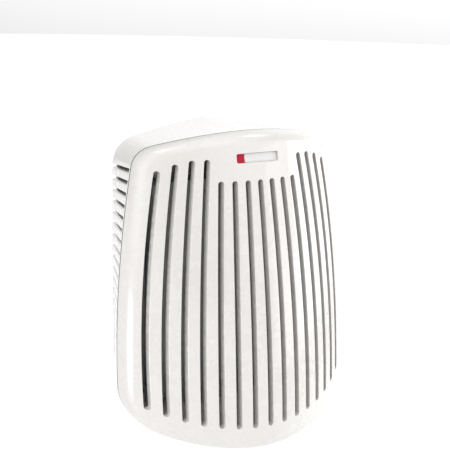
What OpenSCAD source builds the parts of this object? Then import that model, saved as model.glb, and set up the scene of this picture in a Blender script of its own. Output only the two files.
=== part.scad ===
// Plug-mount fan air cleaner: louvred housing, slotted curved cover, filter cassette, motor and fan.
// Origin: centre of the plug between its blades, on the plane of the back face. +Y goes into the wall.
// Depths in this file are measured forward from the back face, so a depth of d lies at y = -d.

/* [Cover] */
// Height of the cover's top edge above the plug
cover_top = 17.4; // [15:0.2:20]
// Height of the cover's bottom edge
cover_bottom = -145.6; // [-150:0.2:-143]
// Half width of the cover at its widest
cover_half_w = 68.2; // [66:0.2:71]
// Wall of the cover, measured sideways
cover_wall = 2.4; // [2:0.1:3]
// Depth of the cover's front wall, measured along Y
cover_front = 4.5; // [3:0.1:4.6]
// Roll of the cover's front edge
cover_roll = 5; // [3.5:0.5:7]
// Depth of the cover's side, from its face back to the seam
cover_skirt = 5.5; // [5:0.5:8]

/* [Face] */
// Depth of the face in front of the back, at the height of the plug
face_depth = 68.2; // [66:0.2:72]
// Forward lean of the face, per millimetre downwards
face_lean = 0.239; // [0.2:0.001:0.26]
// Drop of the face at 60 mm from the middle
face_drop = 25.5; // [20:0.5:27]

/* [Front slots] */
// Slots on each side of the middle one
slots_per_side = 7; // [5:1:7]
// Width of a slot
slot_w = 2.9; // [2:0.1:3.2]
// Slots on each side of the middle one that end under the window
short_slots = 3; // [3:1:3]

/* [Window] */
// Width of the filter window
window_w = 23.8; // [18:0.2:26]
// Height of the filter window
window_h = 4.6; // [3.6:0.2:5]
// Height of the window's middle above the plug
window_z = 5; // [4:0.2:6]
// Length of the strip that has turned red
dye_w = 4.6; // [2:0.2:12]

/* [Housing] */
// Height of the housing's back edge at its peak
housing_top = 16.2; // [15:0.2:17]
// Lowest point of the housing's back edge
housing_bottom = -139; // [-141:0.5:-137]
// Half width of the housing's back
housing_half_w = 54.2; // [53:0.2:56]
// Wall of the housing
housing_wall = 2.2; // [1.8:0.1:2.6]
// Roll of the housing's rear edge
housing_roll = 7; // [6:0.5:8]
// Gap at the seam between housing and cover
seam_gap = 0.6; // [0.3:0.05:0.7]

/* [Side louvres] */
// Louvre slots in each side
louvres = 15; // [8:1:15]
// Distance from one louvre slot to the next
louvre_pitch = 6.18; // [5.8:0.02:6.2]
// Height of a louvre slot
louvre_h = 2.4; // [2:0.1:3.2]
// Height of the top louvre slot's middle at its rear end
louvre_top = -7.4; // [-9:0.1:-7]
// Angle at which the louvre slots rise towards the front
louvre_rise = 6.8; // [0:0.2:8]

/* [Plug] */
// Distance between the blades
blade_spacing = 12.7; // [12.7:0.1:12.7]
// Length of a blade outside the back face
blade_len = 17.5; // [15.9:0.1:18.2]
// Thickness of a blade
blade_t = 1.5; // [1.4:0.05:1.6]
// Width of the line blade
line_w = 6.35; // [6.2:0.05:6.5]
// Width of the neutral blade
neutral_w = 7.9; // [7.7:0.05:8.1]
// Reach of the rubber bumpers behind the back face
bumper_reach = 5.4; // [4:0.2:6]

/* [Motor and fan] */
// Height of the motor's axis
axis_z = -58; // [-60:1:-56]
// Outer radius of the impeller
fan_r = 39.5; // [36:0.5:40]
// Number of impeller blades
fan_blades = 30; // [20:2:36]
// Radius of the motor shaft
shaft_r = 1.5; // [1.4:0.1:1.6]
// Radius of the rotor
rotor_r = 11; // [10:0.5:11]

/* [Filter] */
// Half width of the filter cassette
filter_half_w = 49; // [44:0.5:49.5]
// Top of the filter cassette
filter_top = -8.5; // [-12:0.5:-8.5]
// Bottom of the filter cassette
filter_bottom = -124; // [-124:0.5:-118]
// Folds in the carbon sheet
folds = 18; // [10:1:20]

/* [Hidden] */
$fn = 48;
over = 1; // how far a cutting shape runs past what it cuts
fit = 0.02; // radial room of a piece pressed on the shaft
wall_overrun = 6; // how far the hollow of the housing is cut past its rim
run = 0.04; // radial room of the shaft in a bush
side = 0.2; // room around a piece that sits in a pocket
shell_z = -64; // height of the middle of the shells
top_arc = 153; // radius of the cover's top edge
low_arc = 175; // radius of the bottom edges
side_arc = 620; // radius of the cover's sides
widest_z = -118; // height at which the cover is widest
// An outline: top, bottom, half width and the height where it is widest,
// radii of the top, side and bottom arcs, radii of the top and bottom corners, offset of the top arcs
cover_line = [cover_top, cover_bottom, cover_half_w, widest_z, top_arc, side_arc, low_arc, 14, 23, 0];
housing_line = [housing_top, housing_bottom, housing_half_w, -60, 400, 3000, low_arc, 15, 22, 56];
deck_back = 34.5; // depth of the intake deck's rear face
deck_t = 2;
deck_front = deck_back + deck_t;
posts = [[-43, -5], [43, -5], [-37, -129], [37, -129]]; // x, z of the posts that carry the deck
post_r = 4;
screw_r = 1.45;
screw_hole = 1.5;
stack_back = 10; // depth of the rear face of the stator's laminations
stack_front = 20;
motor_screw_x = 18.5;
coil_z = -35.5; // height of the coil's middle, from the motor's axis
fan_back = 25.8; // depth of the impeller's disc
fan_front = 33.2;
intake_r = 29;
filter_back = 37.6;
filter_front = 47.6;
screen_inset = 1; // from the cassette's edge to the recess for the screen
screen_recess = 1.1;
plug_screw_x = 17;
bumper_x = 34;
bumper_z = -118;
bumper_r = 7;
switch_y = 18; // depth of the speed switch's middle
switch_travel = 10;
knob_start = -switch_travel / 2;
louvre_pivot = 5; // depth at which the louvre slots have their listed height

// ---- shapes shared by the sub-parts ----

// Depth of the face at x, z
function face_p(x, z) = face_depth - face_lean * z - 0.0006 * z * z
    - face_drop * pow(x / 60, 2) - 1.5 * pow(x / 60, 4);

// Where two circles meet, on the right-hand side going from the first centre to the second
function meet(c1, r1, c2, r2) =
    let (
        d = norm(c2 - c1),
        a = (r1 * r1 - r2 * r2 + d * d) / (2 * d),
        h = sqrt(r1 * r1 - a * a),
        u = (c2 - c1) / d
    )
    c1 + a * u + h * [u.y, -u.x];

function angle_of(v) = atan2(v.y, v.x);

function arc(c, r, a0, a1, n) =
    [for (i = [0 : n - 1]) let (a = a0 + (a1 - a0) * i / n) c + r * [cos(a), sin(a)]];

// Right half of an outline, from the top to the bottom, moved inwards by d
function half_outline(s, d) =
    let (
        top_c = [-s[9], s[0] - sqrt(s[4] * s[4] - s[9] * s[9])],
        side_c = [s[2] - s[5], s[3]],
        low_c = [0, s[1] + s[6]],
        k1 = meet(top_c, s[4] - s[7], side_c, s[5] - s[7]),
        k2 = meet(side_c, s[5] - s[8], low_c, s[6] - s[8]),
        points = concat(
            arc(top_c, s[4] - d, acos(s[9] / s[4]), angle_of(k1 - top_c), 6),
            arc(k1, s[7] - d, angle_of(k1 - top_c), angle_of(k1 - side_c), 5),
            arc(side_c, s[5] - d, angle_of(k1 - side_c), angle_of(k2 - side_c), 8),
            arc(k2, s[8] - d, angle_of(k2 - side_c), angle_of(k2 - low_c), 6),
            arc(low_c, s[6] - d, angle_of(k2 - low_c), -90, 6),
            [[0, s[1] + d]]
        )
    )
    [for (p = points) [max(p.x, 0), p.y]];

function outline(s, d) =
    let (h = half_outline(s, d), n = len(h))
    concat(h, [for (i = [n - 2 : -1 : 1]) [-h[i].x, h[i].y]]);

// A ring of points on the face, moved back by depth
function face_ring(line, depth) = [for (p = line) [p.x, depth - face_p(p.x, p.y), p.y]];

// A ring of points at one depth
function flat_ring(line, depth) = [for (p = line) [p.x, -depth, p.y]];

function shrink(line, s) = [for (p = line) [p.x * s, shell_z + (p.y - shell_z) * s]];

// A closed solid through rings that go from the back to the front
module loft(rings, back_depth, front_depth) {
    n = len(rings[0]);
    m = len(rings);
    points = concat([for (r = rings) each r], [[0, -back_depth, shell_z], [0, -front_depth, shell_z]]);
    sides = [for (j = [0 : m - 2]) for (i = [0 : n - 1])
        let (k = (i + 1) % n, a = j * n, b = a + n) each [[a + i, a + k, b + k], [a + i, b + k, b + i]]];
    back = [for (i = [0 : n - 1]) [m * n, (i + 1) % n, i]];
    front = [for (i = [0 : n - 1]) [m * n + 1, (m - 1) * n + i, (m - 1) * n + (i + 1) % n]];
    polyhedron(points, concat(sides, back, front));
}

// Solid under the face: its side moved in by inset, its face moved back by depth, its rim at the depth rim
module face_body(inset, depth, roll, rim, steps, scales) {
    edge = [for (i = [0 : steps]) let (a = 90 * i / steps)
        face_ring(outline(cover_line, inset + roll * (1 - cos(a))), depth + roll * (1 - sin(a)))];
    top_line = outline(cover_line, inset + roll);
    rings = concat(
        [face_ring(outline(cover_line, inset), rim)],
        edge,
        [for (s = scales) face_ring(shrink(top_line, s), depth)]
    );
    middle = face_p(0, shell_z);
    loft(rings, middle - rim, middle - depth);
}

// Places things in the middle of the face at height z, with -Y along the face's outward normal
module on_face(z) {
    lean = atan(face_lean + 0.0012 * z);
    translate([0, -face_p(0, z), z])
        rotate([-lean, 0, 0])
            children();
}

// Cylinder from depth d0 to depth d1 at x, z
module rod_at(x, z, r, d0, d1, n = 48) {
    translate([x, -d0, z])
        rotate([90, 0, 0])
            cylinder(r = r, h = d1 - d0, $fn = n);
}

// Block from depth d0 to d1
module block(x0, x1, z0, z1, d0, d1) {
    translate([x0, -d1, z0])
        cube([x1 - x0, d1 - d0, z1 - z0]);
}

module rounded_block(x0, x1, z0, z1, d0, d1, r) {
    translate([0, -d0, 0])
        rotate([90, 0, 0])
            linear_extrude(d1 - d0)
                union() {
                    translate([x0 + r, z0])
                        square([x1 - x0 - 2 * r, z1 - z0]);
                    translate([x0, z0 + r])
                        square([x1 - x0, z1 - z0 - 2 * r]);
                    for (x = [x0 + r, x1 - r], z = [z0 + r, z1 - r])
                        translate([x, z])
                            circle(r = r);
                }
}

// Pan-head screw at x, z: its head stands on depth d and its shank goes len deep
module screw_at(x, z, d, len) {
    difference() {
        union() {
            rod_at(x, z, 2.8, d, d + 1.8);
            rod_at(x, z, screw_r, d - len, d + 0.1);
        }
        block(x - 2, x + 2, z - 0.35, z + 0.35, d + 1, d + 3);
        block(x - 0.35, x + 0.35, z - 2, z + 2, d + 1, d + 3);
    }
}

// Points of a smooth line through a route's own points, n to each stretch
function smooth(route, n) =
    let (last = len(route) - 1)
    concat(
        [for (i = [0 : last - 1], j = [0 : n - 1])
            let (
                s = j / n,
                p0 = route[max(i - 1, 0)],
                p1 = route[i],
                p2 = route[i + 1],
                p3 = route[min(i + 2, last)]
            )
            p1 + s * (p2 - p0) / 2 + s * s * (p0 - 2.5 * p1 + 2 * p2 - 0.5 * p3)
                + s * s * s * (1.5 * p1 - 1.5 * p2 - 0.5 * p0 + 0.5 * p3)],
        [route[last]]
    );

// Insulated wire of radius r along a smooth line, cut square at both ends
module wire(route, r) {
    line = smooth(route, 4);
    last = len(line) - 1;
    far = len(route) - 1;
    n = 8;
    stops = concat([0], [for (i = [2 : last - 2]) i], [last]);
    rings = [for (i = stops)
        let (
            t = i == 0 ? route[1] - route[0]
                : i == last ? route[far] - route[far - 1]
                : line[i + 1] - line[i - 1],
            u = cross(t, [0, 0.8, -0.6]) / norm(cross(t, [0, 0.8, -0.6])),
            v = cross(t / norm(t), u)
        )
        [for (j = [0 : n - 1]) line[i] + r * (cos(360 * j / n) * u + sin(360 * j / n) * v)]];
    walls = [for (i = [0 : len(stops) - 2], j = [0 : n - 1])
        let (k = (j + 1) % n, a = i * n, b = a + n) each [[a + j, b + k, a + k], [a + j, b + j, b + k]]];
    start = [for (j = [0 : n - 1]) j];
    end = [for (j = [n - 1 : -1 : 0]) (len(stops) - 1) * n + j];
    polyhedron([for (ring = rings) each ring], concat(walls, [start, end]));
}

// ---- cover ----

function slot_x(k, z) = k * (8.75 - 0.000125 * pow(z + 130, 2)) + 0.000105 * pow(k, 3) * (z + 46);
function slot_top(k) = abs(k) <= short_slots ? -6 : 4.6 - 0.79 * pow(abs(k) - 4.2, 2);
function slot_bottom(k) = -133.2 + 0.2 * k * k;

// Outline of one front slot, bowed like its neighbours and round at both ends
function slot_outline(k) =
    let (
        w = slot_w / 2,
        top = slot_top(k) - w,
        low = slot_bottom(k) + w,
        n = 8,
        path = [for (i = [0 : n]) let (z = top + (low - top) * i / n) [slot_x(k, z), z]]
    )
    concat(
        [for (p = path) [p.x + w, p.y]],
        [for (a = [-45 : -45 : -135]) path[n] + w * [cos(a), sin(a)]],
        [for (i = [n : -1 : 0]) [path[i].x - w, path[i].y]],
        [for (a = [135 : -45 : 45]) path[0] + w * [cos(a), sin(a)]]
    );

// The window's shape in the face's own plane, made smaller all round by less
module window_shape(x0, x1, less) {
    h = window_h / 2 - less;
    polygon([[x0 + less, h - 0.7], [x0 + less + 0.7, h], [x1 - less, h], [x1 - less, -h],
        [x0 + less + 0.7, -h], [x0 + less, 0.7 - h]]);
}

// A layer of the window between two depths under the face, curved as the face is
module window_layer(x0, x1, d0, d1, less) {
    r = 1800 / face_drop;
    on_face(window_z)
        intersection() {
            translate([0, 5, 0])
                rotate([90, 0, 0])
                    linear_extrude(10)
                        window_shape(x0, x1, less);
            difference() {
                translate([0, r, -10])
                    cylinder(r = r - d0, h = 20, $fn = 96);
                translate([0, r, -10 - over])
                    cylinder(r = r - d1, h = 20 + 2 * over, $fn = 96);
            }
        }
}

// Tongue that slides into the housing and holds the cover; up is 1 at the top and -1 at the bottom
module cover_tongue(x, up) {
    far_x = abs(x) + 5;
    arc_r = up > 0 ? top_arc : low_arc;
    edge = (up > 0 ? cover_top : cover_bottom) - up * (arc_r - sqrt(arc_r * arc_r - far_x * far_x));
    outer = edge - up * 4.2;
    inner = edge - up * 6;
    web = edge - up * 1.6;
    seam = face_p(x, edge) - cover_skirt;
    block(x - 5, x + 5, min(outer, inner), max(outer, inner), seam - 6, seam + 3);
    block(x - 5, x + 5, min(web, inner), max(web, inner), seam + 1.2, seam + 3);
}

module front_cover() {
    color("ivory")
        difference() {
            union() {
                difference() {
                    face_body(0, 0, cover_roll, cover_skirt, 5, [0.86, 0.68, 0.46, 0.22]);
                    face_body(cover_wall, cover_front, cover_roll - cover_wall, cover_skirt + 4, 3,
                        [0.8, 0.5]);
                }
                for (x = [-25, 25], up = [-1, 1])
                    cover_tongue(x, up);
            }
            for (k = [-slots_per_side : slots_per_side])
                rotate([90, 0, 0])
                    linear_extrude(120)
                        polygon(slot_outline(k));
            on_face(window_z)
                translate([0, 8, 0])
                    rotate([90, 0, 0])
                        linear_extrude(16)
                            window_shape(-window_w / 2, window_w / 2, 0);
        }
}

module window_lens() {
    color("white", 0.4)
        window_layer(-window_w / 2, window_w / 2, 0.7, 1.3, 0.1);
}

module indicator_card() {
    color("white")
        window_layer(-window_w / 2 + dye_w, window_w / 2, 1.35, 1.75, 0.1);
}

module indicator_dye() {
    color("crimson")
        window_layer(-window_w / 2, -window_w / 2 + dye_w, 1.35, 1.75, 0.1);
}

module strip_carrier() {
    color("gainsboro")
        union() {
            window_layer(-window_w / 2, window_w / 2, 1.8, cover_front + 0.6, 0.15);
            window_layer(-window_w / 2 - 2, window_w / 2 + 2, cover_front, cover_front + 1, -1.6);
        }
}

// ---- filter cassette ----

// Block of the cassette's shape, smaller all round by less
module cassette(less, d0, d1, r) {
    half_w = filter_half_w - less;
    rounded_block(-half_w, half_w, filter_bottom + less, filter_top - less, d0, d1, r);
}

module filter_frame() {
    bar = 1.4;
    cell_w = (2 * filter_half_w - 10) / 4;
    cell_h = (filter_top - filter_bottom - 12) / 5;
    color("dimgray")
        difference() {
            cassette(0, filter_back, filter_front, 4);
            cassette(2, filter_back + bar, filter_front + over, 0.4);
            cassette(screen_inset, filter_front - screen_recess, filter_front + over, 3);
            for (i = [0 : 3], j = [0 : 4]) {
                x = -filter_half_w + 5 + i * cell_w;
                z = filter_bottom + 6 + j * cell_h;
                block(x + 1, x + cell_w - 1, z + 1, z + cell_h - 1,
                    filter_back - over, filter_back + bar + over);
            }
        }
}

// Pleated sheet of activated carbon
module carbon_media() {
    half = filter_half_w - 2.3;
    step = 2 * half / folds;
    t = 0.9;
    low = -filter_front + 2.9;
    high = -filter_back - 1.6;
    zigzag = [for (i = [0 : folds]) [-half + i * step, i % 2 == 0 ? low : high - t]];
    color("dimgray")
        translate([0, 0, filter_bottom + 2.3])
            linear_extrude(filter_top - filter_bottom - 4.6)
                polygon(concat(zigzag, [for (i = [folds : -1 : 0]) zigzag[i] + [0, t]]));
}

// Pre-filter screen that lies in the recess of the cassette's front
module dust_screen() {
    color("darkgray")
        cassette(screen_inset + 0.1, filter_front - screen_recess + 0.05, filter_front - 0.3, 2.9);
}

module filter_pull_tab() {
    color("white")
        difference() {
            rounded_block(-8, 8, filter_top, filter_top + 7, filter_front - 4, filter_front - 2.4, 2);
            rounded_block(-5, 5, filter_top + 3, filter_top + 5, filter_front - 6, filter_front, 0.9);
        }
}

// ---- housing ----

function side_x(z) = cover_half_w - side_arc + sqrt(side_arc * side_arc - pow(z - widest_z, 2));
function louvre_z(i) = louvre_top - louvre_pitch * i;

// Points of the housing's wall, moved in by inset, at a depth, or at the seam and further when ahead is given
function housing_wall_line(inset, depth, ahead) =
    let (
        back = outline(housing_line, inset),
        front = outline(cover_line, inset),
        edge = outline(cover_line, 0)
    )
    [for (i = [0 : len(back) - 1])
        let (
            seam = face_p(edge[i].x, edge[i].y) - cover_skirt - seam_gap,
            at = is_undef(ahead) ? depth : seam + ahead,
            p = back[i] + (at - housing_roll) / (seam - housing_roll) * (front[i] - back[i])
        )
        [p.x, -at, p.y]];

// Solid of the housing, moved in by inset, with its front edge at the seam moved forward by ahead
module housing_body(inset, roll, ahead) {
    steps = 3;
    edge = [for (i = [0 : steps]) let (a = 90 * i / steps)
        flat_ring(outline(housing_line, inset + roll * (1 - sin(a))), inset + roll * (1 - cos(a)))];
    rim = housing_wall_line(inset, undef, ahead);
    loft(concat(edge, [rim]), inset, face_p(0, shell_z) - cover_skirt - seam_gap + ahead);
}

module louvre_cuts() {
    for (i = [0 : louvres - 1]) {
        z = louvre_z(i);
        front = face_p(side_x(z), z) - cover_skirt - 2.8;
        translate([0, -louvre_pivot, z])
            rotate([-louvre_rise, 0, 0])
                for (x = [-75, 50])
                    block(x, x + 25, -louvre_h / 2, louvre_h / 2, -louvre_pivot - over, front - louvre_pivot);
    }
}

module rear_housing() {
    color("ivory")
        difference() {
            union() {
                difference() {
                    housing_body(0, housing_roll, 0);
                    housing_body(housing_wall, housing_roll - housing_wall, wall_overrun);
                    louvre_cuts();
                }
                for (p = posts)
                    rod_at(p.x, p.y, post_r, 1.5, deck_back - 0.05);
                for (x = [-motor_screw_x, motor_screw_x])
                    rod_at(x, axis_z, 4, 1.5, stack_back - 1.25);
                for (x = [-plug_screw_x, plug_screw_x])
                    rod_at(x, 0, 3.5, 1.5, 6.4);
                for (x = [-13.2, 11.4])
                    block(x, x + 1.8, -138, -130, switch_y - 5, switch_y + 5);
            }
            for (p = posts)
                rod_at(p.x, p.y, screw_hole, deck_back - 12, deck_back + over);
            for (x = [-motor_screw_x, motor_screw_x])
                rod_at(x, axis_z, screw_hole, 1.2, stack_back);
            for (x = [-plug_screw_x, plug_screw_x])
                rod_at(x, 0, screw_hole, 1.2, 8);
            for (x = [-bumper_x, bumper_x])
                rod_at(x, bumper_z, bumper_r + 0.1, -over, 1);
            block(-12.5, 12.5, -6.6, 6.6, -over, 4);
            block(knob_start - 2.4, -knob_start + 2.4, -145, -134, switch_y - 2.4, switch_y + 2.4);
        }
}

// Plate between fan and filter, with a round intake behind a wheel-shaped guard
module intake_deck() {
    lip = 1.5;
    deck_line = [for (p = housing_wall_line(housing_wall, deck_back)) [p.x, p.z]];
    color("dimgray")
        difference() {
            union() {
                difference() {
                    union() {
                        translate([0, -deck_back, 0])
                            rotate([90, 0, 0])
                                linear_extrude(deck_t)
                                    polygon(shrink(deck_line, 0.99));
                        rounded_block(-filter_half_w - 0.5 - lip, filter_half_w + 0.5 + lip,
                            filter_bottom - 0.5 - lip, filter_top + 0.5 + lip,
                            deck_back, deck_front + 2.5, 5.5);
                        rod_at(0, axis_z, intake_r + 2, fan_front + 0.5, deck_back + 0.1, 96);
                    }
                    rounded_block(-filter_half_w - 0.5, filter_half_w + 0.5,
                        filter_bottom - 0.5, filter_top + 0.5, deck_front, deck_front + 6, 4);
                    rod_at(0, axis_z, intake_r, fan_front - over, deck_front + over, 96);
                }
                for (r = [11, 20])
                    difference() {
                        rod_at(0, axis_z, r + 0.8, deck_front - 1.6, deck_front, 96);
                        rod_at(0, axis_z, r - 0.8, deck_front - 3, deck_front + 1, 96);
                    }
                for (a = [0 : 60 : 300])
                    translate([0, 0, axis_z])
                        rotate([0, a, 0])
                            block(10.5, intake_r + 0.5, -0.8, 0.8, deck_front - 1.6, deck_front);
            }
            for (p = posts) {
                rod_at(p.x, p.y, 1.8, deck_back - over, deck_front + 6);
                rod_at(p.x, p.y, 3.4, deck_front, deck_front + 6);
            }
        }
}

module deck_gasket() {
    color("dimgray")
        difference() {
            rod_at(0, axis_z, intake_r + 6, deck_front, filter_back - 0.35, 96);
            rod_at(0, axis_z, intake_r + 2, deck_front - over, deck_front + 2, 96);
        }
}

module deck_screws() {
    color("silver")
        for (p = posts)
            screw_at(p.x, p.y, deck_front, 12);
}

module wall_bumpers() {
    color("gray")
        for (x = [-bumper_x, bumper_x])
            translate([x, -1, bumper_z])
                rotate([-90, 0, 0])
                    rotate_extrude($fn = 48)
                        polygon([[0, 0], [bumper_r, 0], [bumper_r, bumper_reach],
                            [bumper_r - 1, bumper_reach + 1], [0, bumper_reach + 1]]);
}

// ---- plug ----

module plug_insert() {
    color("ivory")
        difference() {
            union() {
                block(-12.3, 12.3, -6.4, 6.4, 0, 12);
                rounded_block(-21, 21, -6, 6, 6.5, 9, 3);
            }
            block(-blade_spacing / 2 - blade_t / 2 - 0.05, -blade_spacing / 2 + blade_t / 2 + 0.05,
                -neutral_w / 2 - 0.05, neutral_w / 2 + 0.05, -over, 13);
            block(blade_spacing / 2 - blade_t / 2 - 0.05, blade_spacing / 2 + blade_t / 2 + 0.05,
                -line_w / 2 - 0.05, line_w / 2 + 0.05, -over, 13);
            for (x = [-plug_screw_x, plug_screw_x])
                rod_at(x, 0, 1.6, 5, 10);
        }
}

// Flat blade of width w at x, with a bevelled tip and its hole
module blade(x, w) {
    tip = blade_len;
    color("gold")
        translate([x - blade_t / 2, 0, 0])
            rotate([90, 0, 90])
                linear_extrude(blade_t)
                    difference() {
                        polygon([[-17, -w / 2], [tip - 1.6, -w / 2], [tip, -w / 2 + 1.2], [tip, w / 2 - 1.2],
                            [tip - 1.6, w / 2], [-17, w / 2]]);
                        translate([tip - 5.6, 0])
                            circle(r = 1.6);
                    }
}

module neutral_blade() {
    blade(-blade_spacing / 2, neutral_w);
}

module line_blade() {
    blade(blade_spacing / 2, line_w);
}

module plug_screws() {
    color("silver")
        for (x = [-plug_screw_x, plug_screw_x])
            screw_at(x, 0, 9, 7.5);
}

// Push-on terminal on the inner end of a blade of width w
module terminal(x, w) {
    color("goldenrod")
        difference() {
            union() {
                rounded_block(x - 2, x + 2, -w / 2 - 1, w / 2 + 1, 12.5, 18, 0.8);
                rod_at(x, 0, 1.7, 17.5, 21);
            }
            block(x - blade_t / 2 - 0.05, x + blade_t / 2 + 0.05, -w / 2 - 0.05, w / 2 + 0.05, 10, 17.2);
        }
}

module neutral_terminal() {
    terminal(-blade_spacing / 2, neutral_w);
}

module line_terminal() {
    terminal(blade_spacing / 2, line_w);
}

// ---- wiring and switch ----

module neutral_lead() {
    color("white")
        wire([[-6.35, -21.3, 0], [-6.35, -22.6, 0], [-8.2, -24.4, -0.4], [-13, -24.6, -1.6], [-24, -23.5, -4],
            [-44.5, -20, -20], [-44.5, -12, -60], [-44.5, -14, -86], [-30, -23, -95.5],
            [-15.3, -23, -95.5]], 1.1);
}

module line_lead() {
    color("black")
        wire([[6.35, -21.3, 0], [6.35, -22.6, 0], [8.2, -24.4, -0.4], [13, -24.6, -1.6], [24, -23.5, -4],
            [44.5, -20, -20], [44.5, -12, -60], [44.5, -12, -100], [38, -12, -116], [18, -14, -123.5],
            [10, -15, -124.2], [7.3, -15, -126], [7, -15, -127.6]], 1.1);
}

module motor_lead() {
    color("firebrick")
        wire([[-7, -15, -127.6], [-7, -15, -126], [-9, -16.5, -121], [-10, -19, -116.5],
            [-10, -19, -114.3]], 1.1);
}

module thermal_fuse() {
    color("lightgray")
        union() {
            translate([-10, -19, -114])
                cylinder(r = 2, h = 9, $fn = 32);
            translate([-10, -19, -105])
                cylinder(r = 0.5, h = 1.8, $fn = 24);
        }
}

module speed_switch() {
    color("dimgray")
        difference() {
            block(-11, 11, -136.4, -128, switch_y - 4.5, switch_y + 4.5);
            block(knob_start - 2.4, -knob_start + 2.4, -138, -133, switch_y - 2.4, switch_y + 2.4);
        }
}

module speed_capacitor() {
    color("steelblue")
        rounded_block(20, 37, -114, -101, housing_wall + 0.1, 9.5, 1.5);
}

// Slide button with a gripped cap below the housing, at the off end of its travel
module switch_knob() {
    color("dimgray")
        translate([knob_start, 0, 0])
            difference() {
                union() {
                    block(-2, 2, -142, -133.4, switch_y - 2, switch_y + 2);
                    block(-5, 5, -144.2, -141.4, switch_y - 4.5, switch_y + 4.5);
                }
                for (x = [-3 : 2 : 3])
                    block(x - 0.5, x + 0.5, -145, -143.6, switch_y - 5, switch_y + 5);
            }
}

// ---- motor ----

module at_axis() {
    translate([0, 0, axis_z])
        children();
}

// Laminated core: two poles around the rotor, joined by the leg that carries the coil
module stator_core() {
    color("slategray")
        at_axis()
            difference() {
                rounded_block(-23, 23, -41, 17, stack_back, stack_front, 2);
                rod_at(0, 0, rotor_r + 0.35, stack_back - over, stack_front + over, 96);
                block(-15, 15, -30, -17, stack_back - over, stack_front + over);
                for (x = [-motor_screw_x, motor_screw_x])
                    rod_at(x, 0, 1.7, stack_back - over, stack_front + over);
                for (a = [45, 225])
                    rotate([0, a, 0])
                        block(-1, 1, rotor_r - 1, rotor_r + 5.2, stack_back - over, stack_front + over);
            }
}

// Copper bands through the pole slots, closed over both faces of the core
module shading_rings() {
    color("peru")
        at_axis()
            for (a = [45, 225])
                rotate([0, a, 0])
                    difference() {
                        block(-0.8, 0.8, rotor_r + 0.6, rotor_r + 5, stack_back - 1.1, stack_front + 1.1);
                        block(-2, 2, rotor_r + 1.6, rotor_r + 4, stack_back - 0.1, stack_front + 0.1);
                    }
}

module coil_bobbin() {
    color("white")
        at_axis()
            difference() {
                union() {
                    for (x = [-14.8, 13.6])
                        block(x, x + 1.2, coil_z - 10, coil_z + 10, stack_back - 5, stack_front + 5);
                    block(-14, 14, coil_z - 6.6, coil_z + 6.6, stack_back - 1.2, stack_front + 1.2);
                }
                block(-20, 20, coil_z - 5.6, coil_z + 5.6, stack_back - 0.1, stack_front + 0.1);
            }
}

module motor_winding() {
    color("orange")
        at_axis()
            difference() {
                block(-13.5, 13.5, coil_z - 9.4, coil_z + 9.4, stack_back - 4.4, stack_front + 4.4);
                block(-20, 20, coil_z - 6.7, coil_z + 6.7, stack_back - 1.3, stack_front + 1.3);
            }
}

// Strap across the core with a cup for a bush, between depths d0 and d1; the cup reaches depth cup
module bracket(d0, d1, cup) {
    at_axis()
        difference() {
            union() {
                rounded_block(-23, 23, -6, 6, d0, d1, 5.9);
                rod_at(0, 0, 6, min(d0, cup), max(d1, cup));
            }
            rod_at(0, 0, 4.5, min(d0, cup) - over, max(d1, cup) + over);
            for (x = [-motor_screw_x, motor_screw_x])
                rod_at(x, 0, 1.7, d0 - over, d1 + over);
        }
}

module front_bracket() {
    color("silver")
        bracket(stack_front + 0.05, stack_front + 1.2, stack_front + 5);
}

module rear_bracket() {
    color("silver")
        bracket(stack_back - 1.2, stack_back - 0.05, stack_back - 5);
}

// Sintered bush between depths d0 and d1
module bush(d0, d1) {
    color("darkgoldenrod")
        difference() {
            rod_at(0, axis_z, 4.48, d0, d1);
            rod_at(0, axis_z, shaft_r + run, d0 - over, d1 + over);
        }
}

module front_bush() {
    bush(stack_front + 0.8, stack_front + 4.8);
}

module rear_bush() {
    bush(stack_back - 4.8, stack_back - 0.8);
}

module motor_screws() {
    color("silver")
        for (x = [-motor_screw_x, motor_screw_x])
            screw_at(x, axis_z, stack_front + 1.2, 18);
}

// ---- rotor and fan ----

module rotor_core() {
    color("slategray")
        difference() {
            rod_at(0, axis_z, rotor_r, stack_back + 0.5, stack_front - 0.5, 96);
            rod_at(0, axis_z, shaft_r + fit, stack_back, stack_front);
        }
}

module motor_shaft() {
    color("silver")
        rod_at(0, axis_z, shaft_r, stack_back - 4.6, fan_front - 0.2);
}

// Section of a forward-curved blade, at the top of the wheel
function fan_blade_outline(r0, r1, t) =
    let (
        n = 5,
        side = [for (i = [0 : n]) let (s = i / n) [r0 + (r1 - r0) * s, 90 + 14 * sin(90 * s) - 14 * s]]
    )
    concat(
        [for (p = side) p.x * [cos(p.y), sin(p.y)]],
        [for (i = [n : -1 : 0]) side[i].x * [cos(side[i].y + t), sin(side[i].y + t)]]
    );

module impeller() {
    color("whitesmoke")
        difference() {
            union() {
                rod_at(0, axis_z, fan_r, fan_back, fan_back + 1.2, 96);
                rod_at(0, axis_z, 5, fan_back, fan_front - 3);
                difference() {
                    rod_at(0, axis_z, fan_r, fan_front - 1, fan_front, 96);
                    rod_at(0, axis_z, fan_r - 5, fan_front - 2, fan_front + 1, 96);
                }
                for (i = [0 : fan_blades - 1])
                    translate([0, -fan_back - 1, axis_z])
                        rotate([90, 360 * i / fan_blades, 0])
                            linear_extrude(fan_front - fan_back - 1.5)
                                polygon(fan_blade_outline(fan_r - 8, fan_r - 0.2, 1.5));
            }
            rod_at(0, axis_z, shaft_r + fit, fan_back - over, fan_front);
        }
}

module impeller_clip() {
    color("silver")
        difference() {
            rod_at(0, axis_z, 4, fan_front - 2.95, fan_front - 2.2);
            rod_at(0, axis_z, shaft_r + fit, fan_front - 4, fan_front);
        }
}

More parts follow.
